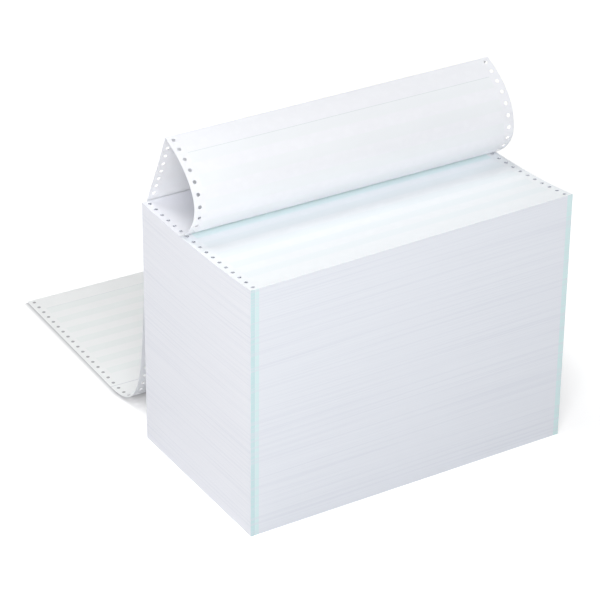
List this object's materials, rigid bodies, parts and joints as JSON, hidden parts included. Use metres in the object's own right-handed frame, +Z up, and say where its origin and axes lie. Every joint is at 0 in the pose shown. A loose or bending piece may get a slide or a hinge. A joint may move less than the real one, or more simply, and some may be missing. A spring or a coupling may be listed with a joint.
{
  "type": "stack of fan-folded bar paper",
  "caption": "Stack of continuous fan-folded listing paper with pale green bars, its top panels pulled off in an arch and trailing to the floor behind.",
  "frame": {"origin": "centre of the stack's base, on the surface that the stack stands on", "axes": "+X along the folds to the right, +Y the way the web leaves the stack, +Z up"},
  "size_m": [0.3925, 0.5436, 0.3726],
  "materials": {
    "paper": "matte"
  },
  "bodies": {
    "root": {"fanfold_paper": "paper"}
  },
  "joints": []
}
